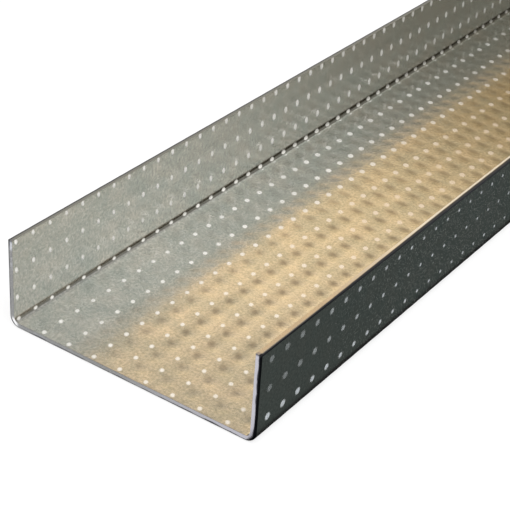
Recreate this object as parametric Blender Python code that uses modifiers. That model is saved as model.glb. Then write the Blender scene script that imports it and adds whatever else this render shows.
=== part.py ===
"""Ceiling primary channel: one length of cold-rolled galvanised steel, a plain U in section.

Metres, +Z up. The channel lies web down with its flanges up and runs along Y. The origin is at the
middle of the length, on the surface that the web lies on.
"""
import math

import bmesh
import bpy

# Driving dimensions
STOCK_LENGTH = 3.600
WEB_WIDTH = 0.045
FLANGE_HEIGHT = 0.015
STEEL = 0.0009
BEND_INNER_RADIUS = 0.0008

# Fineness of the round bends, in flats for a quarter turn
BEND_FLATS = 10

# Galvanised finish
ZINC = {"Base Color": (0.62, 0.62, 0.60, 1.0), "Roughness": 0.38, "Metallic": 1.0}

# Edges that turn by more than this stay sharp
SMOOTH_ANGLE = math.radians(30)


def clear_scene():
    """Remove the objects that the scene holds."""
    for old in list(bpy.data.objects):
        bpy.data.objects.remove(old, do_unlink=True)


def zinc():
    """Galvanised steel as it leaves the rolls."""
    material = bpy.data.materials.new("galvanised_steel")
    material.use_nodes = True
    shader = material.node_tree.nodes["Principled BSDF"]
    for socket, value in ZINC.items():
        shader.inputs[socket].default_value = value
    return material


def outer_surface():
    """The folded strip's outer surface with square corners: up one flange, across the web, up the other."""
    half_width = WEB_WIDTH / 2
    outline = [
        (-half_width, FLANGE_HEIGHT),
        (-half_width, 0.0),
        (half_width, 0.0),
        (half_width, FLANGE_HEIGHT),
    ]
    strip = bmesh.new()
    corners = [strip.verts.new((x, -STOCK_LENGTH / 2, z)) for x, z in outline]
    edges = [strip.edges.new(pair) for pair in zip(corners, corners[1:])]
    drawn = bmesh.ops.extrude_edge_only(strip, edges=edges)["geom"]
    far_end = [item for item in drawn if isinstance(item, bmesh.types.BMVert)]
    bmesh.ops.translate(strip, verts=far_end, vec=(0.0, STOCK_LENGTH, 0.0))
    bmesh.ops.recalc_face_normals(strip, faces=strip.faces)
    face_outwards(strip)
    surface = bpy.data.meshes.new("channel")
    strip.to_mesh(surface)
    strip.free()
    return surface


def face_outwards(strip):
    """Turn the faces so that the web's looks down, away from the trough."""
    strip.normal_update()
    web = min(strip.faces, key=lambda face: face.calc_center_median().z)
    if web.normal.z > 0:
        bmesh.ops.reverse_faces(strip, faces=strip.faces)


def channel():
    """The whole length: outer surface, rounded at the two bends, then thickened inwards to the steel."""
    piece = bpy.data.objects.new("channel", outer_surface())
    bends = piece.modifiers.new("bends", "BEVEL")
    bends.limit_method = "ANGLE"
    bends.offset_type = "OFFSET"
    bends.width = BEND_INNER_RADIUS + STEEL
    bends.segments = BEND_FLATS
    bends.use_clamp_overlap = False
    wall = piece.modifiers.new("steel", "SOLIDIFY")
    wall.thickness = STEEL
    wall.offset = -1.0
    wall.use_even_offset = True
    piece.data.materials.append(zinc())
    piece.data.shade_smooth()
    piece.data.set_sharp_from_angle(angle=SMOOTH_ANGLE)
    return piece


def main():
    clear_scene()
    stock = bpy.data.collections.new("ceiling_primary_channel")
    bpy.context.scene.collection.children.link(stock)
    stock.objects.link(channel())


main()
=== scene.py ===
"""Ceiling primary channel: rolled, dimpled and galvanised strip, dressed around its plain CAD section.

Metres, +Z up. The near end, which the camera looks at, is at the low end of Y.
"""
import math

import bpy
import numpy as np
from mathutils import Matrix, Vector


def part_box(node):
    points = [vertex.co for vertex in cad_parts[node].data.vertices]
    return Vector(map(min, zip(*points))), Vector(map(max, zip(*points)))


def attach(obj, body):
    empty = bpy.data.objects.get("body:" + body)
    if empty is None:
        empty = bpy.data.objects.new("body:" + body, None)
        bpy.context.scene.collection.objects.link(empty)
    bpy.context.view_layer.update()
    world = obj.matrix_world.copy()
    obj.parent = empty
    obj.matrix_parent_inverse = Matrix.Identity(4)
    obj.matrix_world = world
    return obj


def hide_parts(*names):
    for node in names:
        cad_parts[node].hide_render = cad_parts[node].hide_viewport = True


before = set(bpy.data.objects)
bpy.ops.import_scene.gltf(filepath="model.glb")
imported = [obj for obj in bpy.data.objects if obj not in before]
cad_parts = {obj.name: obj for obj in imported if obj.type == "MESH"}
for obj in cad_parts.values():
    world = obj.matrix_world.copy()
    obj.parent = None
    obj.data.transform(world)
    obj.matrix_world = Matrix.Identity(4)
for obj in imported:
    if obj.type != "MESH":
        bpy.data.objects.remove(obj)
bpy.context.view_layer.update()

MM = 0.001

# The strip, as rolled: its steel, its bends and the pips pressed through it from both sides
STEEL = 0.9 * MM
BEND_INNER_RADIUS = 0.8 * MM
DENT_DEPTH = 0.03 * MM
PIP_SHARE = 0.5
PIP_RADIUS = 1.50 * MM
PITCH_ACROSS = 4.80 * MM
PITCH_ALONG = 3.70 * MM
FIRST_COLUMN = 0.50 * MM
FIRST_ROW = 0.80 * MM

# The shear rolls one arris of a cut edge over and leaves the other nearly sharp
ROLLED_ARRIS = 0.32 * MM
ROLLED_POINTS = 5
BURR_ARRIS = 0.06 * MM
BURR_POINTS = 3

LOW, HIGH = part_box("channel")
NEAR_END = LOW.y
FAR_END = HIGH.y
LENGTH = FAR_END - NEAR_END

# Mid-surface of the U, set in by the dents so that their outer crests touch the section's outer faces
HALF_WIDTH = (HIGH.x - LOW.x) / 2 - DENT_DEPTH - STEEL / 2
WEB_LEVEL = LOW.z + DENT_DEPTH + STEEL / 2
BEND_RADIUS = BEND_INNER_RADIUS + STEEL / 2
FLANGE_RUN = HIGH.z - WEB_LEVEL - BEND_RADIUS
BEND_RUN = BEND_RADIUS * math.pi / 2
WEB_RUN = 2 * (HALF_WIDTH - BEND_RADIUS)
STRIP_WIDTH = 2 * (FLANGE_RUN + BEND_RUN) + WEB_RUN


def mid_section(u):
    """Mid-surface at developed distance u from the left rim: (x, z) and the normal towards the trough.

    Down the left flange, a quarter circle of BEND_RADIUS, across the web, a quarter circle, and up the
    right flange. The normal is (1, 0) on the left flange, (0, 1) on the web and (-1, 0) on the right one.
    """
    ends = np.cumsum([FLANGE_RUN, BEND_RUN, WEB_RUN, BEND_RUN])
    left_turn = np.clip((u - ends[0]) / BEND_RADIUS, 0, math.pi / 2)
    right_turn = np.clip((u - ends[2]) / BEND_RADIUS, 0, math.pi / 2)
    turn = left_turn + right_turn
    inner = HALF_WIDTH - BEND_RADIUS
    centre_z = WEB_LEVEL + BEND_RADIUS
    across = np.clip(u - ends[1], 0, WEB_RUN)
    x = -inner + across - BEND_RADIUS * np.cos(left_turn) + BEND_RADIUS * np.sin(right_turn)
    down = np.clip(FLANGE_RUN - u, 0, None)
    up = np.clip(u - ends[3], 0, None)
    drop = np.where(u < ends[2], np.sin(left_turn), np.cos(right_turn))
    z = centre_z + down + up - BEND_RADIUS * drop
    return x, z, np.cos(turn), np.sin(turn)


def pip(distance):
    """One pip's height at a distance from its middle: (1 - r^2)^2 with r in PIP_RADIUS, and 0 beyond it."""
    share = np.clip(1 - (distance / PIP_RADIUS) ** 2, 0, None)
    return share**2


def relief(u, v):
    """How far the sheet stands towards the trough: pips on a lattice, and dents in its cells' middles.

    The lattice is rectangular: columns PITCH_ACROSS apart from the left rim, rows PITCH_ALONG apart from
    the near end. The value is DENT_DEPTH (PIP_SHARE pip(distance to the nearest lattice point) -
    pip(distance to the nearest middle of a cell)).
    """
    column = (u - FIRST_COLUMN) / PITCH_ACROSS
    row = (v - FIRST_ROW) / PITCH_ALONG

    def nearest(shift):
        du = (column - shift - np.round(column - shift)) * PITCH_ACROSS
        dv = (row - shift - np.round(row - shift)) * PITCH_ALONG
        return pip(np.hypot(du, dv))

    return DENT_DEPTH * (PIP_SHARE * nearest(0.0) - nearest(0.5))


def steel(u, v, w):
    """A point of the strip: mid_section(u) plus its normal times ((w - 1/2) STEEL + relief), v along Y.

    w runs from 0 on the outer skin to 1 on the skin that faces the trough. Returns an array (..., 3).
    """
    u, v, w = np.broadcast_arrays(u, v, w)
    x, z, normal_x, normal_z = mid_section(u)
    out = (w - 0.5) * STEEL + relief(u, v)
    return np.stack([x + normal_x * out, NEAR_END + v, z + normal_z * out], axis=-1)


def arris(radius, points):
    """A rounded arris, a quarter circle from a skin to the cut face: its depth in w, and its setback.

    They are radius (1 - cos a) / STEEL and radius (1 - sin a), for a from 0 to a right angle.
    """
    angle = np.linspace(0, math.pi / 2, points)
    return radius * (1 - np.cos(angle)) / STEEL, radius * (1 - np.sin(angle))


def cut_profile():
    """A cut edge across the thickness, from the outer skin: w, and how far the face is set back there."""
    rolled_w, rolled_set = arris(ROLLED_ARRIS, ROLLED_POINTS)
    burr_w, burr_set = arris(BURR_ARRIS, BURR_POINTS)
    return np.concatenate([rolled_w, 1 - burr_w[::-1]]), np.concatenate([rolled_set, burr_set[::-1]])


CUT_W, CUT_SET = cut_profile()


def lattice_lines(first, pitch, share, low, high):
    """Grid lines at every pitch / share from a lattice's first line, strictly between low and high."""
    step = pitch / share
    start = math.ceil((low - first) / step)
    stop = math.floor((high - first) / step)
    lines = first + step * np.arange(start, stop + 1)
    return lines[(lines > low + step / 4) & (lines < high - step / 4)]


def lines_across(share, bend_flats):
    """Developed positions of the mesh's lines across the strip, from rim to rim.

    The flanges and the web have lattice lines, and each bend between them bend_flats even steps.
    """
    ends = np.cumsum([0, FLANGE_RUN, BEND_RUN, WEB_RUN, BEND_RUN, FLANGE_RUN])
    runs = [[0.0]]
    for index, (low, high) in enumerate(zip(ends, ends[1:])):
        is_bend = index % 2 == 1
        if is_bend:
            runs.append(np.linspace(low, high, bend_flats + 1))
        else:
            runs.append(lattice_lines(FIRST_COLUMN, PITCH_ACROSS, share, low, high))
    return np.concatenate([*runs, [STRIP_WIDTH]])


def grid_normals(points):
    """Unit normals of a grid of points by central differences, one-sided at its borders."""
    normals = np.cross(np.gradient(points, axis=1), np.gradient(points, axis=0))
    return normals / np.linalg.norm(normals, axis=-1, keepdims=True)


def grid_faces(rows, columns, start):
    """Quads of a grid of rows by columns points whose first point has index start."""
    index = start + np.arange(rows * columns).reshape(rows, columns)
    corners = [index[:-1, :-1], index[:-1, 1:], index[1:, 1:], index[1:, :-1]]
    return np.stack(corners, axis=-1).reshape(-1, 4)


MERGE_STEP = 0.001 * MM
SKIN, CUT = 0, 1


class Patches:
    """Collects grids of the strip's points into one closed mesh, merged where their borders coincide."""

    def __init__(self):
        self.points, self.normals, self.faces, self.slots, self.developed = [], [], [], [], []
        self.count = 0

    def add(self, u, v, w, slot, flip, beyond=0):
        """Adds the steel's points at u, v and w, broadcast to one grid, with a material slot.

        The first and last lines along v, beyond of them at each end, only help to find the normals.
        """
        points = steel(u, v, w)
        kept = slice(beyond, points.shape[1] - beyond)
        normals = grid_normals(points)[:, kept]
        points = points[:, kept]
        developed = np.stack(np.broadcast_arrays(u / MM, v / MM, w), axis=-1)[:, kept]
        faces = grid_faces(*points.shape[:2], self.count)
        self.faces.append(faces[:, ::-1] if flip else faces)
        self.points.append(points.reshape(-1, 3))
        self.normals.append((-normals if flip else normals).reshape(-1, 3))
        self.developed.append(developed.reshape(-1, 3))
        self.slots.append(np.full(len(faces), slot))
        self.count += len(self.points[-1])

    def mesh(self, name, materials):
        """The patches as one object, with their normals and, as "developed", u and v in mm and w."""
        points = np.concatenate(self.points)
        faces = np.concatenate(self.faces)
        keys = np.round(points / MERGE_STEP).astype(np.int64)
        _, first, merged = np.unique(keys, axis=0, return_index=True, return_inverse=True)
        faces = merged.reshape(-1)[faces]
        data = bpy.data.meshes.new(name)
        data.vertices.add(len(first))
        data.vertices.foreach_set("co", points[first].astype(np.float32).ravel())
        data.loops.add(faces.size)
        data.loops.foreach_set("vertex_index", faces.astype(np.int32).ravel())
        data.polygons.add(len(faces))
        data.polygons.foreach_set("loop_start", np.arange(0, faces.size, 4, dtype=np.int32))
        data.polygons.foreach_set("material_index", np.concatenate(self.slots).astype(np.int32))
        data.polygons.foreach_set("use_smooth", np.ones(len(faces), bool))
        data.update(calc_edges=True)
        place = data.attributes.new("developed", "FLOAT_VECTOR", "POINT")
        place.data.foreach_set("vector", np.concatenate(self.developed)[first].astype(np.float32).ravel())
        data.normals_split_custom_set_from_vertices(np.concatenate(self.normals)[first].tolist())
        for material in materials:
            data.materials.append(material)
        piece = bpy.data.objects.new(name, data)
        bpy.context.scene.collection.objects.link(piece)
        return piece


def add_skins(patches, across, along, v_low, v_high, step):
    """The trough's skin and the outer one. Each ends on the nearest line of the cuts round it.

    One more line beyond either end lets the normals carry on across a joint with the next length.
    """
    for w, cut_line, flip in ((1.0, -1, False), (0.0, 0, True)):
        u = across.copy()
        u[0] = CUT_SET[cut_line]
        u[-1] = STRIP_WIDTH - CUT_SET[cut_line]
        first, last = v_low[cut_line], v_high[cut_line]
        v = np.concatenate([[first - step, first], along, [last, last + step]])
        patches.add(u[:, None], v[None, :], w, SKIN, flip, beyond=1)


def add_cuts(patches, across, along, v_low, v_high):
    """The cut faces: the left and right rims along the whole length, and its near and far ends."""
    w = CUT_W[:, None]
    middle = np.broadcast_to(along, (len(CUT_W), len(along)))
    v = np.concatenate([v_low[:, None], middle, v_high[:, None]], axis=1)
    patches.add(CUT_SET[:, None], v, w, CUT, False)
    patches.add(STRIP_WIDTH - CUT_SET[:, None], v, w, CUT, True)
    u = np.broadcast_to(across, (len(CUT_W), len(across))).copy()
    u[:, 0] = CUT_SET
    u[:, -1] = STRIP_WIDTH - CUT_SET
    patches.add(u, v_low[:, None], w, CUT, True)
    patches.add(u, v_high[:, None], w, CUT, False)


def strip_piece(name, start, stop, fineness, materials):
    """One length of the channel from start to stop along it, as a closed sheet of even thickness.

    Its lines lie on the lattice. Fineness is how many there are to a pitch across, to a pitch along and to
    a bend. The channel's own ends are sheared faces, and any other end is a plain joint.
    """
    share_across, share_along, bend_flats = fineness
    across = lines_across(share_across, bend_flats)
    along = lattice_lines(FIRST_ROW, PITCH_ALONG, share_along, start, stop)
    v_low = CUT_SET if start <= 0 else np.full_like(CUT_SET, start)
    v_high = LENGTH - CUT_SET if stop >= LENGTH else np.full_like(CUT_SET, stop)
    patches = Patches()
    add_skins(patches, across, along, v_low, v_high, PITCH_ALONG / share_along)
    add_cuts(patches, across, along, v_low, v_high)
    piece = patches.mesh(name, materials)
    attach(piece, "root")
    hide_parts("channel")


def feed(tree, socket, value):
    """Links an input to a socket, or sets it to a number, to three numbers or to a colour of three."""
    if isinstance(value, bpy.types.NodeSocket):
        tree.links.new(value, socket)
    elif socket.type == "RGBA":
        socket.default_value = (*value, 1)
    else:
        socket.default_value = value


def node(tree, kind, operands=(), **settings):
    """A new node: its first inputs are fed from the operands, and its properties or inputs set by name."""
    made = tree.nodes.new(kind)
    for key, value in settings.items():
        if hasattr(made, key):
            setattr(made, key, value)
        else:
            feed(tree, made.inputs[key.replace("_", " ")], value)
    for socket, operand in zip(made.inputs, operands):
        feed(tree, socket, operand)
    return made


def maths(tree, operation, *operands, clamp=False):
    """A Math node's value: each operand is a socket or a number."""
    return node(tree, "ShaderNodeMath", operands, operation=operation, use_clamp=clamp).outputs[0]


def product(tree, first, *others):
    """The product of sockets and numbers."""
    for other in others:
        first = maths(tree, "MULTIPLY", first, other)
    return first


def distance_to(tree, value, place):
    """How far a value is from a place, on either side of it."""
    return maths(tree, "ABSOLUTE", maths(tree, "SUBTRACT", value, place))


def vector_maths(tree, operation, *operands):
    """A Vector Math node's result: each operand is a socket or three numbers."""
    made = node(tree, "ShaderNodeVectorMath", operands, operation=operation)
    return made.outputs["Value" if operation == "LENGTH" else "Vector"]


def joined(tree, x, y=0.0, z=0.0):
    """One vector of three values, each a socket or a number."""
    return node(tree, "ShaderNodeCombineXYZ", (x, y, z)).outputs[0]


def parted(tree, vector):
    """A vector's three values."""
    return node(tree, "ShaderNodeSeparateXYZ", (vector,)).outputs


def spread(tree, value, low, high, to_low=0.0, to_high=1.0, smooth=False):
    """A Map Range node's value, clamped: low to high becomes to_low to to_high."""
    interpolation = "SMOOTHSTEP" if smooth else "LINEAR"
    operands = (value, low, high, to_low, to_high)
    return node(tree, "ShaderNodeMapRange", operands, interpolation_type=interpolation).outputs[0]


def mix_values(tree, share, without, within):
    """A value that goes from one to the other as a share goes from 0 to 1; either may be a number."""
    mix = node(tree, "ShaderNodeMix", data_type="FLOAT")
    for index, operand in ((0, share), (2, without), (3, within)):
        feed(tree, mix.inputs[index], operand)
    return mix.outputs[0]


def blend(tree, share, without, within):
    """A colour that goes from one to the other as a share goes from 0 to 1; either may be numbers."""
    mix = node(tree, "ShaderNodeMix", data_type="RGBA")
    for index, operand in ((0, share), (6, without), (7, within)):
        feed(tree, mix.inputs[index], operand)
    return mix.outputs[2]


def own_place(tree):
    """A point's place in its own object, which is its place in the scene, as all stay at the origin."""
    return node(tree, "ShaderNodeTexCoord").outputs["Object"]


def new_material(name):
    """A material that uses nodes, and its tree."""
    material = bpy.data.materials.new(name)
    material.use_nodes = True
    return material, material.node_tree


FINE_NOISE = {"Detail": 2.0, "Roughness": 0.6}
FINE_TONES = (0.32, 0.68)
CLOUDS_PER_MM = 0.22
BROAD_NOISE = {"Detail": 3.0, "Roughness": 0.55}
BROAD_TONES = (0.35, 0.65)


def zinc_grain_group():
    """Grain of a rolled zinc coat from a place in millimetres: a fine and a broad tone, and a height."""
    group = bpy.data.node_groups.new("zinc_grain", "ShaderNodeTree")
    sockets = group.interface
    sockets.new_socket("Position", in_out="INPUT", socket_type="NodeSocketVector")
    sockets.new_socket("Grains per mm", in_out="INPUT", socket_type="NodeSocketFloat")
    for name in ("Fine tone", "Broad tone", "Height"):
        sockets.new_socket(name, in_out="OUTPUT", socket_type="NodeSocketFloat")
    source = node(group, "NodeGroupInput")
    result = node(group, "NodeGroupOutput")
    position, grains_per_mm = source.outputs[:2]
    fine = node(group, "ShaderNodeTexNoise", Scale=grains_per_mm, Vector=position, **FINE_NOISE)
    broad = node(group, "ShaderNodeTexNoise", Scale=CLOUDS_PER_MM, Vector=position, **BROAD_NOISE)
    feed(group, result.inputs["Fine tone"], spread(group, fine.outputs["Fac"], *FINE_TONES))
    feed(group, result.inputs["Broad tone"], spread(group, broad.outputs["Fac"], *BROAD_TONES))
    feed(group, result.inputs["Height"], fine.outputs["Fac"])
    return group


def grain_in(tree, grain, grains_per_mm):
    """The zinc grain's group in a material, reading the piece's own position in millimetres."""
    scaled = vector_maths(tree, "MULTIPLY", own_place(tree), (1 / MM, 1 / MM, 1 / MM))
    pattern = node(tree, "ShaderNodeGroup", node_tree=grain)
    feed(tree, pattern.inputs["Position"], scaled)
    feed(tree, pattern.inputs["Grains per mm"], grains_per_mm)
    return pattern.outputs


def grain_bump(tree, tones, strength, distance):
    """A normal that lets the grain's height show."""
    bump = node(tree, "ShaderNodeBump", Strength=strength, Distance=distance, Height=tones["Height"])
    return bump.outputs[0]


def strip_place(tree):
    """The place on the strip as one vector and as its three values.

    They are millimetres across from the left rim, millimetres along from the near end, and through the
    steel from 0 on the outer skin to 1 on the skin that faces the trough.
    """
    place = node(tree, "ShaderNodeAttribute", attribute_name="developed").outputs["Vector"]
    return place, *parted(tree, place)


def leaning_distance(tree, offset, centre, size, lean):
    """Distance from a centre in the measure of a leaning ellipse: size is 1 where a length is unchanged."""
    mapping = node(tree, "ShaderNodeMapping", vector_type="TEXTURE", Vector=offset)
    mapping.inputs["Location"].default_value = centre
    mapping.inputs["Rotation"].default_value = (0.0, 0.0, lean)
    mapping.inputs["Scale"].default_value = size
    return vector_maths(tree, "LENGTH", mapping.outputs[0])


# The finishes. Lengths are in millimetres: along is from the near end, and across from the left rim. A span
# gives where a change starts and ends and, where they aren't 0 and 1, the values there. A pair of colours
# is for a tone of 0 and a tone of 1.
BEND_CENTRE = (WEB_RUN + BEND_RUN) / 2 / MM
STRIP_MIDDLE = STRIP_WIDTH / MM / 2
STRIP_LENGTH = LENGTH / MM
OUTER_SIDE = (0.0, 1.0, 1.0, 0.0)
FLANGE_PAST_BEND = (0.7, 1.2)
RIGHT_HALF = (26.0, 36.0)

# The painted highlights on the pips' crests: their sizes, the turns of their ellipses, and how they change
# along
SPOT_RADIUS = 0.35
SPOT_EDGE = 0.34
WEB_SPOT_SIZE = (0.92, 1.25, 1.0)
FLANGE_SPOT_SIZE = (1.25, 0.84, 1.0)
OUTER_SPOT_SIZE = (1.05, 1.10, 1.0)
WEB_LEAN = math.radians(33)
FLANGE_LEAN = math.radians(16)
BEND_SPOT_SHIFT = (0.7, 1.1, 0.75, 0.0)
OUTER_SPOT_GROWTH = (6.0, 45.0, 0.16, -0.10)
INNER_SPOT_GROWTH = (20.0, 80.0, 0.0, 0.22)

# How strong the painted highlights on the crests are, by the broad tone, along the strip and in the rows by
# the bends, and the pale specks painted as highlights on the outer skin's fine grains
LEFT_HIGHLIGHT_BY_TONE = (0.0, 1.0, 0.75, 1.05)
RIGHT_HIGHLIGHT_BY_TONE = (0.0, 1.0, 0.84, 1.05)
HIGHLIGHT_FADES = (50.0, 150.0, 1.0, 0.5)
OUTER_LIT_LOW_ROWS = (BEND_CENTRE + 3.0, BEND_CENTRE + 6.0, 0.62, 0.0)
OUTER_HIGHLIGHT = (4.0, 45.0, 0.17, 0.58)
OUTER_HIGHLIGHT_FADES = (45.0, 110.0, 1.0, 0.75)
SPECK_HIGHLIGHT_GRAINS = (0.55, 1.0, 0.0, 0.07)
SPECK_HIGHLIGHTS_START = (15.0, 45.0)
SPECK_HIGHLIGHTS_FADE = (60.0, 120.0, 1.0, 0.4)

# The painted shade by the dents, marks which further on are streaks, and the painted shade and painted
# highlight in dark and light bands along the dents' columns near the end
DENT_SHADE_FROM_DENT = (-0.8, 0.6, 0.0)
DENT_SHADE_SIZE = (0.95, 1.50, 1.0)
STREAK_FROM_DENT = (-0.5, 0.25, 0.0)
STREAK_SIZE = (2.10, 1.15, 1.0)
STREAKS_START = (15.0, 60.0)
DENT_SHADE_EDGE = (0.05, 1.0, 1.0, 0.0)
LEFT_DENT_SHADE = 0.18
RIGHT_DENT_SHADE = (20.0, 60.0, 0.45, 0.62)
LESS_DENT_SHADE_ON_FLANGE = 0.14
DENT_SHADE_STARTS = (3.0, 14.0, 0.5, 1.0)
BANDS_START = (5.0, 14.0)
BANDS_FADE = (40.0, 75.0, 1.0, 0.0)
DARK_BAND_FROM_DENT = -0.8
DARK_BAND = (0.0, 1.5, 0.16, 0.0)
LIGHT_BAND_FROM_DENT = 0.9
LIGHT_BAND = (0.0, 1.2, 0.26, 0.0)

# The painted shade, a dark line, along each bend
BEND_SHADE_SHIFT = 0.05
BEND_SHADE = (0.12, 0.45, 0.85, 0.0)
BEND_SHADE_WIDENS = (10.0, 80.0, 0.0, 0.38)

# The zinc's colours, among them painted highlights and painted shade, and how metallic and rough it is
ZINC_GRAINS_PER_MM = 2.4
GRAIN_COLOURS = ((0.52, 0.53, 0.51), (0.94, 0.92, 0.89))
CLOUD_COLOURS = ((0.80, 0.75, 0.70), (0.58, 0.64, 0.62))
CLOUD_SHARE = 0.36
# Painted highlight for the light bands, painted shade for the dents and bends, and painted highlights on
# the crests, warm on the right half and bluish on the outer skin.
LIGHT_BAND_COLOUR = (1.00, 0.97, 0.92)
DENT_SHADE_COLOUR = (0.25, 0.22, 0.19)
BEND_COLOUR = (0.13, 0.12, 0.10)
UNDER_OUTER_CREST_HIGHLIGHTS = (0.72, 0.74, 0.74)
CREST_HIGHLIGHT_COLOUR = (1.00, 0.98, 0.94)
WARM_CREST_HIGHLIGHT_COLOUR = (1.00, 0.90, 0.79)
CREST_HIGHLIGHTS_WARM = (15.0, 60.0)
OUTER_CREST_HIGHLIGHT_COLOUR = (0.80, 0.86, 0.93)
LEFT_CREST_METAL = 0.42
RIGHT_CREST_METAL = (20.0, 60.0, 0.50, 0.66)
FLANGE_CREST_METAL = 0.12
ZINC_ROUGHNESS = (0.0, 1.0, 0.14, 0.21)
ROUGHER_NEAR_END = (0.0, 30.0, 0.08, 0.0)
ROUGHER_ON_CRESTS = 0.12
ZINC_BUMP = 0.010 * MM
FLATTER_ON_CRESTS = 0.9


class ZincSkin:
    """The looks of the galvanised skins, as sockets worked out in one material's tree.

    Facing is 1 on the trough's skin and 0 on the outer one, and outer is the other way round. Past_bend is
    how far a place is from the nearer bend's middle, towards the rim, and pitches is the place in pitches
    from the first pip.
    """

    def __init__(self, tree, grain):
        self.tree = tree
        self.tones = grain_in(tree, grain, ZINC_GRAINS_PER_MM)
        place, self.across, self.along, self.facing = strip_place(tree)
        self.outer = spread(tree, self.facing, *OUTER_SIDE)
        self.right_half = spread(tree, self.across, *RIGHT_HALF)
        self.right_trough = product(tree, self.right_half, self.facing)
        self.from_middle = distance_to(tree, self.across, STRIP_MIDDLE)
        self.past_bend = maths(tree, "SUBTRACT", self.from_middle, BEND_CENTRE)
        self.on_flange = spread(tree, self.past_bend, *FLANGE_PAST_BEND)
        from_first = vector_maths(tree, "SUBTRACT", place, (FIRST_COLUMN / MM, FIRST_ROW / MM, 0.0))
        self.pitches = vector_maths(tree, "DIVIDE", from_first, (PITCH_ACROSS / MM, PITCH_ALONG / MM, 1.0))

    def from_lattice(self, shift):
        """Millimetres, across and along, from the nearest point that lies shift of a cell on from a pip.

        The outer skin's pips are half a cell on from those of the trough's skin.
        """
        tree = self.tree
        other = maths(tree, "MULTIPLY_ADD", self.facing, -0.5, 1.0 - shift)
        moved = vector_maths(tree, "ADD", self.pitches, joined(tree, other, other))
        cell = vector_maths(tree, "FRACTION", moved)
        centred = vector_maths(tree, "SUBTRACT", cell, (0.5, 0.5, 0.0))
        return vector_maths(tree, "MULTIPLY", centred, (PITCH_ACROSS / MM, PITCH_ALONG / MM, 0.0))

    def crest(self):
        """1 on the painted highlight of each pip and 0 off it, with a soft edge.

        The spots are leaning ellipses, which differ between the web, a flange's inner skin and its outer
        one, and are mirrored from one flange to the other. Along the bends they are moved a little.
        """
        tree = self.tree
        to_bend = maths(tree, "ABSOLUTE", self.past_bend)
        shift = product(tree, spread(tree, to_bend, *BEND_SPOT_SHIFT, smooth=True), self.facing)
        offset = vector_maths(tree, "ADD", self.from_lattice(0.0), joined(tree, shift))
        side = maths(tree, "SIGN", maths(tree, "SUBTRACT", STRIP_MIDDLE, self.across))
        mirrored = vector_maths(tree, "MULTIPLY", offset, joined(tree, side, 1.0))
        middle = (0.0, 0.0, 0.0)
        to_web_pip = leaning_distance(tree, offset, middle, WEB_SPOT_SIZE, WEB_LEAN)
        to_inner_pip = leaning_distance(tree, mirrored, middle, FLANGE_SPOT_SIZE, FLANGE_LEAN)
        to_outer_pip = leaning_distance(tree, mirrored, middle, OUTER_SPOT_SIZE, FLANGE_LEAN)
        to_flange_pip = mix_values(tree, self.facing, to_outer_pip, to_inner_pip)
        to_pip = mix_values(tree, self.on_flange, to_web_pip, to_flange_pip)
        outer_growth = spread(tree, self.along, *OUTER_SPOT_GROWTH)
        inner_growth = spread(tree, self.along, *INNER_SPOT_GROWTH)
        reach = maths(tree, "SUBTRACT", to_pip, mix_values(tree, self.facing, outer_growth, inner_growth))
        edge = (SPOT_RADIUS - SPOT_EDGE / 2, SPOT_RADIUS + SPOT_EDGE / 2, 1.0, 0.0)
        return spread(tree, reach, *edge, smooth=True)

    def painted_highlight(self, crest):
        """How strong the painted highlight is: on the crests, fainter on the outer skin, where pale specks
        on some fine grains are painted as highlights too.
        """
        tree = self.tree
        left = spread(tree, self.tones["Broad tone"], *LEFT_HIGHLIGHT_BY_TONE)
        right = spread(tree, self.tones["Broad tone"], *RIGHT_HIGHLIGHT_BY_TONE)
        by_tone = mix_values(tree, self.right_half, left, right)
        # The crests' painted highlight, by the broad tone and fading along the strip.
        crest_highlight = product(tree, crest, by_tone, spread(tree, self.along, *HIGHLIGHT_FADES))
        # On the outer skin the painted highlight is strongest in the low rows by the bends and grows along
        # the first stretch.
        lit_low_rows = spread(tree, self.from_middle, *OUTER_LIT_LOW_ROWS)
        outer_highlight = maths(tree, "MAXIMUM", lit_low_rows, spread(tree, self.along, *OUTER_HIGHLIGHT))
        outer_highlight = product(tree, outer_highlight, spread(tree, self.along, *OUTER_HIGHLIGHT_FADES))
        crest_highlight = product(tree, crest_highlight, mix_values(tree, self.facing, outer_highlight, 1.0))
        # Pale specks painted as highlights on some fine grains of the outer skin, from 15 to 120 mm along.
        speck_highlight = product(tree, spread(tree, self.tones["Fine tone"], *SPECK_HIGHLIGHT_GRAINS), self.outer)
        speck_highlight = product(tree, speck_highlight, spread(tree, self.along, *SPECK_HIGHLIGHTS_START))
        speck_highlight = product(tree, speck_highlight, spread(tree, self.along, *SPECK_HIGHLIGHTS_FADE))
        return maths(tree, "MAXIMUM", crest_highlight, speck_highlight)

    def dents(self):
        """How much painted shade lies by the dents and in the dark bands beside their columns, and how much
        painted highlight in the light bands beside them.
        """
        tree = self.tree
        from_dent = self.from_lattice(0.5)
        # Painted shade by each dent, drawn out into streaks further on.
        to_mark = leaning_distance(tree, from_dent, DENT_SHADE_FROM_DENT, DENT_SHADE_SIZE, WEB_LEAN)
        to_streak = leaning_distance(tree, from_dent, STREAK_FROM_DENT, STREAK_SIZE, 0.0)
        to_dent_shade = mix_values(tree, spread(tree, self.along, *STREAKS_START), to_mark, to_streak)
        depth = mix_values(tree, self.right_trough, LEFT_DENT_SHADE, spread(tree, self.along, *RIGHT_DENT_SHADE))
        depth = maths(tree, "SUBTRACT", depth, product(tree, self.on_flange, LESS_DENT_SHADE_ON_FLANGE))
        depth = product(tree, depth, spread(tree, self.along, *DENT_SHADE_STARTS))
        dent_shade = product(tree, spread(tree, to_dent_shade, *DENT_SHADE_EDGE, smooth=True), depth)
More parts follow.
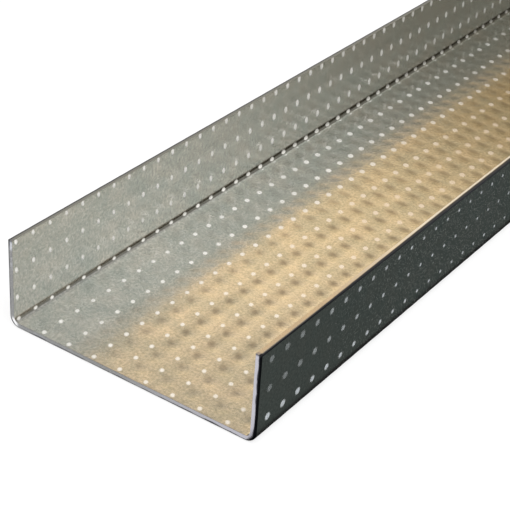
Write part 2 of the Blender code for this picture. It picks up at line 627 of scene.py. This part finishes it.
        # Painted shade and painted highlight in bands along the dents' columns near the end.
        starts = spread(tree, self.along, *BANDS_START)
        banded = product(tree, starts, spread(tree, self.along, *BANDS_FADE), self.right_trough)
        off_column = parted(tree, from_dent)["X"]
        to_dark = distance_to(tree, off_column, DARK_BAND_FROM_DENT)
        to_light = distance_to(tree, off_column, LIGHT_BAND_FROM_DENT)
        dark = product(tree, banded, spread(tree, to_dark, *DARK_BAND, smooth=True))
        light = product(tree, banded, spread(tree, to_light, *LIGHT_BAND, smooth=True))
        return maths(tree, "ADD", dent_shade, dark, clamp=True), light

    def bend_shade(self):
        """How much painted shade lies along the middle of each bend on the trough's side, wider further on.
        """
        tree = self.tree
        to_line = distance_to(tree, self.past_bend, BEND_SHADE_SHIFT)
        to_line = maths(tree, "SUBTRACT", to_line, spread(tree, self.along, *BEND_SHADE_WIDENS))
        return product(tree, spread(tree, to_line, *BEND_SHADE, smooth=True), self.facing)

    def colour(self, crest, painted_highlight):
        """Grained and clouded grey, with light bands of painted highlight, painted shade by the dents and
        along the bends, and painted highlights on the crests.
        """
        tree = self.tree
        dent_shade, light = self.dents()
        grey = blend(tree, self.tones["Fine tone"], *GRAIN_COLOURS)
        cloud = blend(tree, self.tones["Broad tone"], *CLOUD_COLOURS)
        grey = blend(tree, CLOUD_SHARE, grey, cloud)
        # Painted highlight in the light bands, then painted shade by the dents and along the bends.
        grey = blend(tree, light, grey, LIGHT_BAND_COLOUR)
        grey = blend(tree, dent_shade, grey, DENT_SHADE_COLOUR)
        grey = blend(tree, self.bend_shade(), grey, BEND_COLOUR)
        # Painted highlights on the crests: a lighter grey under them on the outer skin, warm as a painted
        # reflection on the right half, and bluish on the outer skin.
        grey = blend(tree, product(tree, crest, self.outer), grey, UNDER_OUTER_CREST_HIGHLIGHTS)
        warmed = product(tree, self.right_half, spread(tree, self.along, *CREST_HIGHLIGHTS_WARM))
        pale = blend(tree, warmed, CREST_HIGHLIGHT_COLOUR, WARM_CREST_HIGHLIGHT_COLOUR)
        pale = blend(tree, self.outer, pale, OUTER_CREST_HIGHLIGHT_COLOUR)
        return blend(tree, painted_highlight, grey, pale)

    def metallic(self, painted_highlight):
        """Bare zinc is all metal, and under a crest's painted highlight it is less so, least on the
        flanges.
        """
        tree = self.tree
        web_metal = spread(tree, self.along, *RIGHT_CREST_METAL)
        web_metal = mix_values(tree, self.right_half, LEFT_CREST_METAL, web_metal)
        crest_metal = mix_values(tree, self.on_flange, web_metal, FLANGE_CREST_METAL)
        return mix_values(tree, painted_highlight, 1.0, crest_metal)

    def roughness(self, painted_highlight):
        """Rougher where the broad tone is high, towards the near end and on the crests."""
        tree = self.tree
        rough = spread(tree, self.tones["Broad tone"], *ZINC_ROUGHNESS)
        rough = maths(tree, "ADD", rough, spread(tree, self.along, *ROUGHER_NEAR_END))
        return maths(tree, "ADD", rough, product(tree, painted_highlight, ROUGHER_ON_CRESTS))


def rolled_zinc(grain):
    """Galvanised sheet: grained grey zinc, with painted highlights on the pips' crests and painted shade by
    the dents and in the bends.
    """
    material, tree = new_material("rolled_zinc")
    shader = tree.nodes["Principled BSDF"]
    skin = ZincSkin(tree, grain)
    crest = skin.crest()
    painted_highlight = skin.painted_highlight(crest)
    feed(tree, shader.inputs["Base Color"], skin.colour(crest, painted_highlight))
    feed(tree, shader.inputs["Metallic"], skin.metallic(painted_highlight))
    feed(tree, shader.inputs["Roughness"], skin.roughness(painted_highlight))
    bump_share = maths(tree, "SUBTRACT", 1.0, product(tree, crest, FLATTER_ON_CRESTS))
    feed(tree, shader.inputs["Normal"], grain_bump(tree, skin.tones, bump_share, ZINC_BUMP))
    return material


# The cut edges: their torn band ends at a border through the steel, which differs from place to place
CUT_GRAINS_PER_MM = 5.0
NEAR_FACE = (0.4, 0.6, 1.0, 0.0)
FAR_FACE = (STRIP_LENGTH - 0.6, STRIP_LENGTH - 0.4)
RIGHT_RIM = (0.4, 0.6)
LEFT_BEND_CENTRE = (FLANGE_RUN + BEND_RUN / 2) / MM
BORDER_WAVE = (0.0, 1.0, 0.10, -0.24)
BORDER_AT_BEND = (0.3, 1.6, 0.20, 0.0)
LEFT_RIM_BORDER = 0.14
RIGHT_RIM_BORDER = (10.0, 50.0, -0.08, 0.28)
BORDER_EDGE = (0.20, 0.42)
# The torn band is near black: the torn steel's own darker tone with painted shade.
TORN_AND_SHADE_COLOUR = (0.05, 0.05, 0.06)
# The rims: grey on the left, darkened as painted shade; tan on the right as a painted warm reflection, with
# a painted cream highlight further on.
LEFT_RIM_COLOUR = (0.44, 0.44, 0.41)
RIGHT_RIM_WARM_REFLECTIONS = ((0.70, 0.60, 0.48), (0.84, 0.74, 0.61))
FAR_RIM_HIGHLIGHT_COLOUR = (1.00, 0.95, 0.86)
FAR_RIM_HIGHLIGHT = (15.0, 45.0)
FACE_COLOURS = ((0.22, 0.22, 0.22), (0.36, 0.36, 0.36))
# The end faces' glints, their paler right side and the bright patch at the left bend are painted highlights
# and a painted reflection.
GLINT_TONES = (0.50, 0.75, 0.0, 0.55)
GLINTS_FADE = (12.0, 18.0, 1.0, 0.25)
GLINT_COLOUR = (0.80, 0.82, 0.88)
PALER_FACE = (34.0, 60.0)
PALER_FACE_COLOUR = (0.56, 0.55, 0.61)
BRIGHT_AT_BEND = (0.3, 1.3, 0.95, 0.0)
BRIGHT_COLOUR = (0.98, 0.98, 0.99)
LEFT_RIM_METAL = 0.9
RIGHT_RIM_METAL = (15.0, 45.0, 0.9, 0.7)
CUT_ROUGHNESS = (0.0, 1.0, 0.30, 0.42)
CUT_BUMP = 0.01 * MM


class CutEdge:
    """The looks of the sheared edges, as sockets worked out in one material's tree."""

    def __init__(self, tree, grain):
        self.tree = tree
        self.tones = grain_in(tree, grain, CUT_GRAINS_PER_MM)
        _, self.across, self.along, self.through = strip_place(tree)
        near_face = spread(tree, self.along, *NEAR_FACE)
        self.end_face = maths(tree, "MAXIMUM", near_face, spread(tree, self.along, *FAR_FACE))
        self.right_rim = spread(tree, self.across, *RIGHT_RIM)
        self.to_left_bend = distance_to(tree, self.across, LEFT_BEND_CENTRE)

    def burnished(self):
        """1 in the burnished band, which lies towards the trough, and 0 in the torn one beyond it."""
        tree = self.tree
        wave = product(tree, self.end_face, spread(tree, self.tones["Broad tone"], *BORDER_WAVE))
        wave = maths(tree, "SUBTRACT", wave, spread(tree, self.to_left_bend, *BORDER_AT_BEND))
        rim_border = spread(tree, self.along, *RIGHT_RIM_BORDER)
        rim_border = mix_values(tree, self.right_rim, LEFT_RIM_BORDER, rim_border)
        on_rim = maths(tree, "SUBTRACT", 1.0, self.end_face)
        border = maths(tree, "ADD", self.through, wave)
        border = maths(tree, "SUBTRACT", border, product(tree, on_rim, rim_border))
        return spread(tree, border, *BORDER_EDGE, smooth=True)

    def rim_colour(self):
        """Grained and tan on the right rim as a painted warm reflection, paler further on as a painted
        highlight, and grey on the left one, kept dark as painted shade.
        """
        tree = self.tree
        rim = blend(tree, self.tones["Fine tone"], *RIGHT_RIM_WARM_REFLECTIONS)
        rim = blend(tree, spread(tree, self.along, *FAR_RIM_HIGHLIGHT), rim, FAR_RIM_HIGHLIGHT_COLOUR)
        return blend(tree, self.right_rim, LEFT_RIM_COLOUR, rim)

    def face_colour(self):
        """The end faces: grained grey, with painted glints to the left, a paler painted reflection to the
        right and a painted highlight at one bend.
        """
        tree = self.tree
        face = blend(tree, self.tones["Fine tone"], *FACE_COLOURS)
        glint = spread(tree, self.tones["Broad tone"], *GLINT_TONES)
        glint = product(tree, glint, spread(tree, self.across, *GLINTS_FADE))
        face = blend(tree, glint, face, GLINT_COLOUR)
        face = blend(tree, spread(tree, self.across, *PALER_FACE), face, PALER_FACE_COLOUR)
        bright = spread(tree, self.to_left_bend, *BRIGHT_AT_BEND, smooth=True)
        return blend(tree, bright, face, BRIGHT_COLOUR)

    def metallic(self):
        """The end faces are all metal, and the rims a little less."""
        tree = self.tree
        rim_metal = spread(tree, self.along, *RIGHT_RIM_METAL)
        rim_metal = mix_values(tree, self.right_rim, LEFT_RIM_METAL, rim_metal)
        return mix_values(tree, self.end_face, rim_metal, 1.0)


def cut_steel(grain):
    """A sheared edge: a burnished band towards the trough, pale with painted reflections and highlights,
    and a torn band with a wavy border, made near black as painted shade.
    """
    material, tree = new_material("cut_steel")
    shader = tree.nodes["Principled BSDF"]
    edge = CutEdge(tree, grain)
    pale = blend(tree, edge.end_face, edge.rim_colour(), edge.face_colour())
    # The torn band near black is partly painted shade.
    feed(tree, shader.inputs["Base Color"], blend(tree, edge.burnished(), TORN_AND_SHADE_COLOUR, pale))
    feed(tree, shader.inputs["Metallic"], edge.metallic())
    feed(tree, shader.inputs["Roughness"], spread(tree, edge.tones["Broad tone"], *CUT_ROUGHNESS))
    feed(tree, shader.inputs["Normal"], grain_bump(tree, edge.tones, 1.0, CUT_BUMP))
    return material


# The lengths that make up the channel, from the near end: how many there are of a kind, the rows of pips
# in each, and their fineness. One more takes what is left.
LENGTH_KINDS = (
    (4, 11, (10, 10, 8)),
    (1, 20, (4, 4, 6)),
    (12, 75, (4, 2, 4)),
)
LAST_FINENESS = (6, 6, 8)


def row_place(row):
    """A quarter of a pitch past a row of pips, where the strip is parted into lengths."""
    return FIRST_ROW + (row + 0.25) * PITCH_ALONG


def build_channel():
    """Makes the channel's lengths one after another from the near end to the far one."""
    grain = zinc_grain_group()
    materials = [rolled_zinc(grain), cut_steel(grain)]
    lengths = [(rows, fineness) for count, rows, fineness in LENGTH_KINDS for _ in range(count)]
    row, start = -1, 0.0
    for number, (rows, fineness) in enumerate(lengths, 1):
        row += rows
        stop = row_place(row)
        strip_piece(f"channel_length_{number:02d}", start, stop, fineness, materials)
        start = stop
    strip_piece(f"channel_length_{len(lengths) + 1:02d}", start, LENGTH, LAST_FINENESS, materials)


# The camera, fitted to the edges of the channel in the photograph
CAMERA_PLACE = Vector((109.4 * MM, NEAR_END - 136.5 * MM, 130.6 * MM))
CAMERA_AZIMUTH = math.radians(33.11)
CAMERA_ELEVATION = math.radians(31.76)
CAMERA_ROLL = math.radians(4.0)
CAMERA_LENS = 107.1
CAMERA_SENSOR = 36.0


def make_camera():
    """The camera at the photograph's place.

    Azimuth 0 looks along +Y and 90 along -X, the elevation is how far it looks down, and it then rolls
    about its own axis.
    """
    data = bpy.data.cameras.new("camera")
    data.lens = CAMERA_LENS
    data.sensor_width = CAMERA_SENSOR
    data.clip_start = 0.01
    data.clip_end = 100
    camera = bpy.data.objects.new("camera", data)
    bpy.context.scene.collection.objects.link(camera)
    turn = Matrix.Rotation(CAMERA_AZIMUTH, 4, "Z")
    tilt = Matrix.Rotation(math.pi / 2 - CAMERA_ELEVATION, 4, "X")
    roll = Matrix.Rotation(CAMERA_ROLL, 4, "Z")
    camera.matrix_world = Matrix.Translation(CAMERA_PLACE) @ turn @ tilt @ roll
    bpy.context.scene.camera = camera


def stage_mesh(name, points, faces, material):
    """A floor or a card, which isn't part of the object."""
    data = bpy.data.meshes.new(name)
    data.from_pydata(points, [], faces)
    data.materials.append(material)
    made = bpy.data.objects.new(name, data)
    bpy.context.scene.collection.objects.link(made)
    return made


def card(name, points, faces, material):
    """A surface that is hidden from all but the metal's reflections."""
    made = stage_mesh(name, points, faces, material)
    made.visible_camera = False
    made.visible_diffuse = False
    made.visible_transmission = False
    made.visible_shadow = False
    made.visible_volume_scatter = False


def light_material(name):
    """A material that only gives light: its tree, its emission node and its output node."""
    material, tree = new_material(name)
    tree.nodes.clear()
    light = node(tree, "ShaderNodeEmission")
    result = node(tree, "ShaderNodeOutputMaterial", (light.outputs[0],))
    return material, tree, light, result


def ramp(tree, value, stops):
    """A Color Ramp node's colour, from stops of (value, (r, g, b))."""
    made = node(tree, "ShaderNodeValToRGB", (value,))
    made.color_ramp.interpolation = "EASE"
    elements = made.color_ramp.elements
    while len(elements) < len(stops):
        elements.new(0.5)
    for element, (position, colour) in zip(elements, stops):
        element.position = position
        element.color = (*colour, 1)
    return made.outputs["Color"]


# What the metal sees on each side of the dome, as stops of an elevation's sine and a colour
WARM_SIDE = (
    (0.00, (0.03, 0.03, 0.02)),
    (0.20, (0.40, 0.29, 0.16)),
    (0.30, (0.84, 0.62, 0.34)),
    (0.40, (1.08, 0.82, 0.46)),
    (0.46, (1.20, 0.92, 0.54)),
    (0.51, (1.28, 0.99, 0.60)),
    (0.55, (1.10, 0.86, 0.55)),
    (0.60, (0.82, 0.67, 0.46)),
    (0.65, (0.54, 0.46, 0.35)),
    (0.72, (0.34, 0.31, 0.26)),
    (1.00, (0.36, 0.35, 0.34)),
)
GREY_SIDE = (
    (0.00, (0.12, 0.12, 0.11)),
    (0.14, (0.18, 0.18, 0.16)),
    (0.20, (0.27, 0.27, 0.25)),
    (0.28, (0.60, 0.60, 0.54)),
    (0.36, (0.76, 0.76, 0.69)),
    (0.42, (0.80, 0.80, 0.74)),
    (0.46, (0.80, 0.81, 0.74)),
    (0.51, (0.85, 0.87, 0.80)),
    (0.57, (0.94, 0.97, 0.92)),
    (0.64, (0.74, 0.74, 0.70)),
    (0.73, (0.46, 0.46, 0.44)),
    (1.00, (0.42, 0.42, 0.42)),
)
NEAR_SIDE = (
    (0.00, (0.80, 0.80, 0.82)),
    (0.60, (0.70, 0.70, 0.72)),
    (1.00, (0.45, 0.45, 0.45)),
)
GREY_STARTS = (-0.10, 0.14)
NEAR_STARTS = (0.25, -0.25)
DOME_RADIUS = 7.0
DOME_COLUMNS = 65
DOME_ROWS = 25


def make_dome():
    """A dome that the metal mirrors: warm to the far left, grey to the far right and pale on the near side.

    A point at azimuth a right of +Y and elevation e is DOME_RADIUS (sin a cos e, cos a cos e, sin e).
    """
    a = np.radians(np.linspace(-180, 180, DOME_COLUMNS))[:, None]
    e = np.radians(np.linspace(0, 90, DOME_ROWS))[None, :]
    parts = np.broadcast_arrays(np.sin(a) * np.cos(e), np.cos(a) * np.cos(e), np.sin(e))
    points = DOME_RADIUS * np.stack(parts, axis=-1)
    points[..., 1] += NEAR_END
    material, tree, light, _ = light_material("dome_light")
    from_middle = vector_maths(tree, "SUBTRACT", own_place(tree), (0.0, NEAR_END, 0.0))
    rightwards, farwards, height = parted(tree, vector_maths(tree, "NORMALIZE", from_middle))
    grey = spread(tree, rightwards, *GREY_STARTS, smooth=True)
    near = spread(tree, farwards, *NEAR_STARTS, smooth=True)
    far_side = blend(tree, grey, ramp(tree, height, WARM_SIDE), ramp(tree, height, GREY_SIDE))
    feed(tree, light.inputs["Color"], blend(tree, near, far_side, ramp(tree, height, NEAR_SIDE)))
    faces = grid_faces(DOME_COLUMNS, DOME_ROWS, 0)
    card("dome", points.reshape(-1, 3).tolist(), faces.tolist(), material)


RIM_CARD_OUT = 0.05 * MM
RIM_CARD_BELOW_RIM = 0.1 * MM
RIM_CARD_HEIGHT = 3.4 * MM
RIM_CARD_EVEN_HEIGHT = 0.5 * MM
RIM_CARD_COLOUR = (0.40, 0.39, 0.36)


def make_rim_card():
    """A grey card that stands on the left rim and fades out upwards, so the web mirrors a taller flange."""
    x = LOW.x - RIM_CARD_OUT
    low = HIGH.z - RIM_CARD_BELOW_RIM
    high = HIGH.z + RIM_CARD_HEIGHT
    corners = [(x, NEAR_END, low), (x, FAR_END, low), (x, FAR_END, high), (x, NEAR_END, high)]
    material, tree, light, result = light_material("rim_card")
    feed(tree, light.inputs["Color"], RIM_CARD_COLOUR)
    height = parted(tree, own_place(tree))["Z"]
    fade = spread(tree, height, HIGH.z + RIM_CARD_EVEN_HEIGHT, high, 1.0, 0.0)
    clear = node(tree, "ShaderNodeBsdfTransparent")
    mix = node(tree, "ShaderNodeMixShader", (fade, clear.outputs[0], light.outputs[0]))
    feed(tree, result.inputs["Surface"], mix.outputs[0])
    card("rim_card", corners, [(0, 1, 2, 3)], material)


VEIL_FROM_END = 300 * MM
VEIL_LOW = 16 * MM
VEIL_HIGH = 296 * MM
VEIL_HALF_WIDTH = 350 * MM

# The light that the veil lets through, as stops of the share of the way up it and a colour
VEIL_STOPS = (
    (0.00, (0.31, 0.30, 0.27)),
    (0.24, (0.31, 0.30, 0.27)),
    (0.27, (0.36, 0.35, 0.32)),
    (0.32, (0.45, 0.44, 0.41)),
    (0.36, (0.53, 0.52, 0.50)),
    (0.45, (0.73, 0.73, 0.72)),
    (0.56, (0.86, 0.86, 0.85)),
    (0.66, (0.90, 0.90, 0.90)),
    (0.78, (0.96, 0.96, 0.96)),
    (0.90, (1.00, 1.00, 1.00)),
)


def make_veil():
    """A gauze across the channel, which dims what the metal mirrors of the far side, most of all low down.

    Seen from its other side it is clear.
    """
    y = NEAR_END + VEIL_FROM_END
    low = [(-VEIL_HALF_WIDTH, y, VEIL_LOW), (VEIL_HALF_WIDTH, y, VEIL_LOW)]
    high = [(VEIL_HALF_WIDTH, y, VEIL_HIGH), (-VEIL_HALF_WIDTH, y, VEIL_HIGH)]
    material, tree = new_material("veil")
    tree.nodes.clear()
    height = spread(tree, parted(tree, own_place(tree))["Z"], VEIL_LOW, VEIL_HIGH)
    other_side = node(tree, "ShaderNodeNewGeometry").outputs["Backfacing"]
    shown = blend(tree, other_side, ramp(tree, height, VEIL_STOPS), (1.0, 1.0, 1.0))
    gauze = node(tree, "ShaderNodeBsdfTransparent", (shown,))
    node(tree, "ShaderNodeOutputMaterial", (gauze.outputs[0],))
    card("veil", low + high, [(0, 1, 2, 3)], material)


# Cards that lie just above the floor, dark as painted shade, which the metal mirrors as the shaded floor
# round and under the channel: name, from and to across, where along they start, height and colour
UNDER_EDGE = HIGH.x - 1.6 * MM
BESIDE_EDGE = HIGH.x + 1.2 * MM
FLAG_EDGE = 1.0
BEFORE_END = NEAR_END - 0.3
CARD_HEIGHT = 0.05 * MM
SHADE_HEIGHT = 0.005 * MM
FLOOR_CARDS = (
    ("right_edge_card", UNDER_EDGE, BESIDE_EDGE, BEFORE_END, CARD_HEIGHT, (0.02, 0.02, 0.02)),
    ("right_flag", BESIDE_EDGE, FLAG_EDGE, BEFORE_END, CARD_HEIGHT, (0.060, 0.071, 0.067)),
    ("left_flag", -FLAG_EDGE, -UNDER_EDGE, NEAR_END, CARD_HEIGHT, (0.085, 0.095, 0.090)),
    ("shade_card", -UNDER_EDGE, UNDER_EDGE, NEAR_END, SHADE_HEIGHT, (0.02, 0.02, 0.02)),
)


def make_floor_cards():
    """Flat cards, each of one even light, that the metal mirrors instead of the white floor: painted shade,
    darkest by the right edge and under the channel.
    """
    for name, left, right, start, height, colour in FLOOR_CARDS:
        near = [(left, start, height), (right, start, height)]
        far = [(right, FAR_END, height), (left, FAR_END, height)]
        material, tree, light, _ = light_material(name)
        feed(tree, light.inputs["Color"], colour)
        card(name, near + far, [(0, 1, 2, 3)], material)


def seen_share(tree):
    """1 for what the camera or the metal sees, and 0 for what only gives light."""
    path = node(tree, "ShaderNodeLightPath")
    return maths(tree, "MAXIMUM", path.outputs["Is Camera Ray"], path.outputs["Is Glossy Ray"])


FLOOR_HALF = 40.0
FLOOR_COLOUR = (0.9, 0.9, 0.9)
FLOOR_GLOW = 1.03
FLOOR_GLOW_SHARE = 0.75


def make_floor():
    """A white floor that shows white to the camera and to the metal, and keeps the channel's shadow."""
    material, tree = new_material("white_floor")
    shader = tree.nodes["Principled BSDF"]
    feed(tree, shader.inputs["Base Color"], FLOOR_COLOUR)
    feed(tree, shader.inputs["Roughness"], 1.0)
    feed(tree, shader.inputs["Specular IOR Level"], 0.0)
    glow = node(tree, "ShaderNodeEmission", Strength=FLOOR_GLOW)
    share = product(tree, seen_share(tree), FLOOR_GLOW_SHARE)
    mix = node(tree, "ShaderNodeMixShader", (share, shader.outputs[0], glow.outputs[0]))
    feed(tree, tree.nodes["Material Output"].inputs["Surface"], mix.outputs[0])
    s = FLOOR_HALF
    stage_mesh("floor", [(-s, -s, 0), (s, -s, 0), (s, s, 0), (-s, s, 0)], [(0, 1, 2, 3)], material)


WORLD_LIGHT = 0.8
WORLD_SEEN = 1.0


def make_world():
    """Plain pale light all round: white where it is seen, and a little less where it lights."""
    world = bpy.data.worlds.new("world")
    bpy.context.scene.world = world
    world.use_nodes = True
    tree = world.node_tree
    background = tree.nodes["Background"]
    feed(tree, background.inputs["Color"], (1, 1, 1))
    strength = spread(tree, seen_share(tree), 0.0, 1.0, WORLD_LIGHT, WORLD_SEEN)
    feed(tree, background.inputs["Strength"], strength)


LAMP_SIDE = 2.0
LAMP_POWER = 45.0
LAMP_PLACE = Vector((0.9, NEAR_END - 0.6, 2.2))
LAMP_AIM = Vector((0, NEAR_END + 0.1, 0))


def make_lamp():
    """One large soft lamp above and to the right, which gives the channel its soft shadow."""
    data = bpy.data.lights.new("soft_lamp", "AREA")
    data.shape = "SQUARE"
    data.size = LAMP_SIDE
    data.energy = LAMP_POWER
    lamp = bpy.data.objects.new("soft_lamp", data)
    bpy.context.scene.collection.objects.link(lamp)
    lamp.location = LAMP_PLACE
    lamp.rotation_euler = (LAMP_AIM - LAMP_PLACE).to_track_quat("-Z", "Y").to_euler()
    lamp.visible_glossy = False


build_channel()
make_camera()
make_dome()
make_rim_card()
make_veil()
make_floor_cards()
make_floor()
make_world()
make_lamp()
bpy.context.scene.view_settings.view_transform = "Standard"
